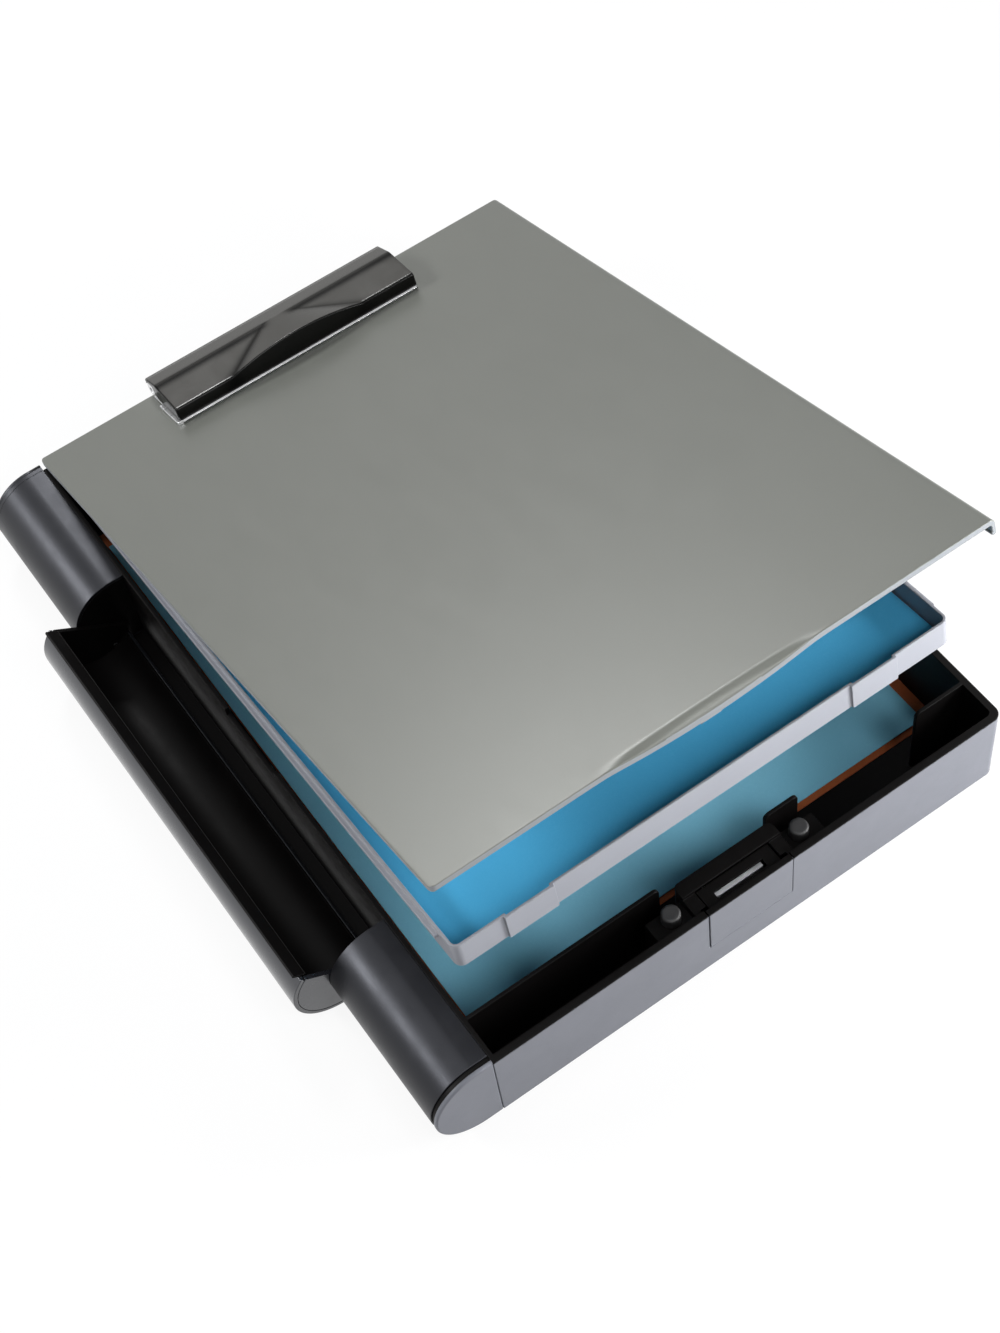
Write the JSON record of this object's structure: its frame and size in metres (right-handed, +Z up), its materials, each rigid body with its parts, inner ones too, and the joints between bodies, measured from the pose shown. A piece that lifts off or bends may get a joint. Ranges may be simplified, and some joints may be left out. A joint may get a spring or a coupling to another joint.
{
  "type": "storage clipboard box",
  "caption": "Slim letter-size storage box with a clipboard lid, a hinged inner tray, a push-button latch and a swing-out pen trough along one side.",
  "frame": {"origin": "centre of the box's underside, the pen tube not counted", "axes": "+Z up, -Y towards the push button, +X away from the pen tube"},
  "size_m": [0.2791, 0.3427, 0.1389],
  "materials": {
    "shell": "satin",
    "black": "fine texture",
    "rubber": "matte",
    "charcoal": "satin",
    "steel": "bright",
    "pale": "satin",
    "blue_card": "card, matte",
    "brown_card": "card, matte",
    "lid": "fine texture",
    "gloss_black": "gloss"
  },
  "bodies": {
    "base": {"outer_shell": "shell", "inner_tub": "black", "tube_front_shell": "charcoal", "tube_back_shell": "charcoal", "tube_front_cap": "shell", "tube_back_cap": "charcoal", "tube_front_ring": "black", "tube_back_ring": "black", "latch_housing": "black", "bumper_posts": "rubber", "base_liner_card": "blue_card", "base_under_card": "brown_card", "hinge_pin": "steel", "latch_springs": "steel"},
    "trough": {"trough_shell": "charcoal", "trough_bin": "black", "trough_front_plate": "charcoal", "trough_back_plate": "charcoal", "trough_pins": "steel"},
    "button": {"button_face": "shell", "button_carrier": "black", "latch_slider": "pale"},
    "tray": {"middle_tray": "pale", "tray_liner_card": "blue_card"},
    "lid": {"lid_board": "lid", "clip_base_plate": "steel", "clip_pin": "steel", "clip_spring": "steel", "clip_rivets": "steel"},
    "clip": {"clip_lever": "gloss_black"}
  },
  "joints": [
    {"name": "tray_hinge", "type": "hinge", "parent": "base", "child": "tray", "pos_m": [0, 0.166, 0.0386], "axis": [-1, 0, 0], "range_deg": [-7.9, 47.1]},
    {"name": "lid_hinge", "type": "hinge", "parent": "tray", "child": "lid", "pos_m": [0, 0.166, 0.0386], "axis": [-1, 0, 0], "range_deg": [-8.8, 64]},
    {"name": "trough_hinge", "type": "hinge", "parent": "base", "child": "trough", "pos_m": [-0.1306, -0.001, 0.0055], "axis": [0, -1, 0], "range_deg": [-55, 0]},
    {"name": "button_push", "type": "slide", "parent": "base", "child": "button", "axis": [0, 1, 0], "range_m": [0, 0.0015], "stiffness_N_per_m": 300, "springref_m": -0.004, "deforming": ["latch_springs"]},
    {"name": "clip_hinge", "type": "hinge", "parent": "lid", "child": "clip", "pos_m": [-0.00025, 0.16798, 0.04834], "axis": [-1, 0, 0], "range_deg": [0, 35], "stiffness_Nm_per_rad": 0.3, "springref_deg": -28.65, "deforming": ["clip_spring"]}
  ]
}
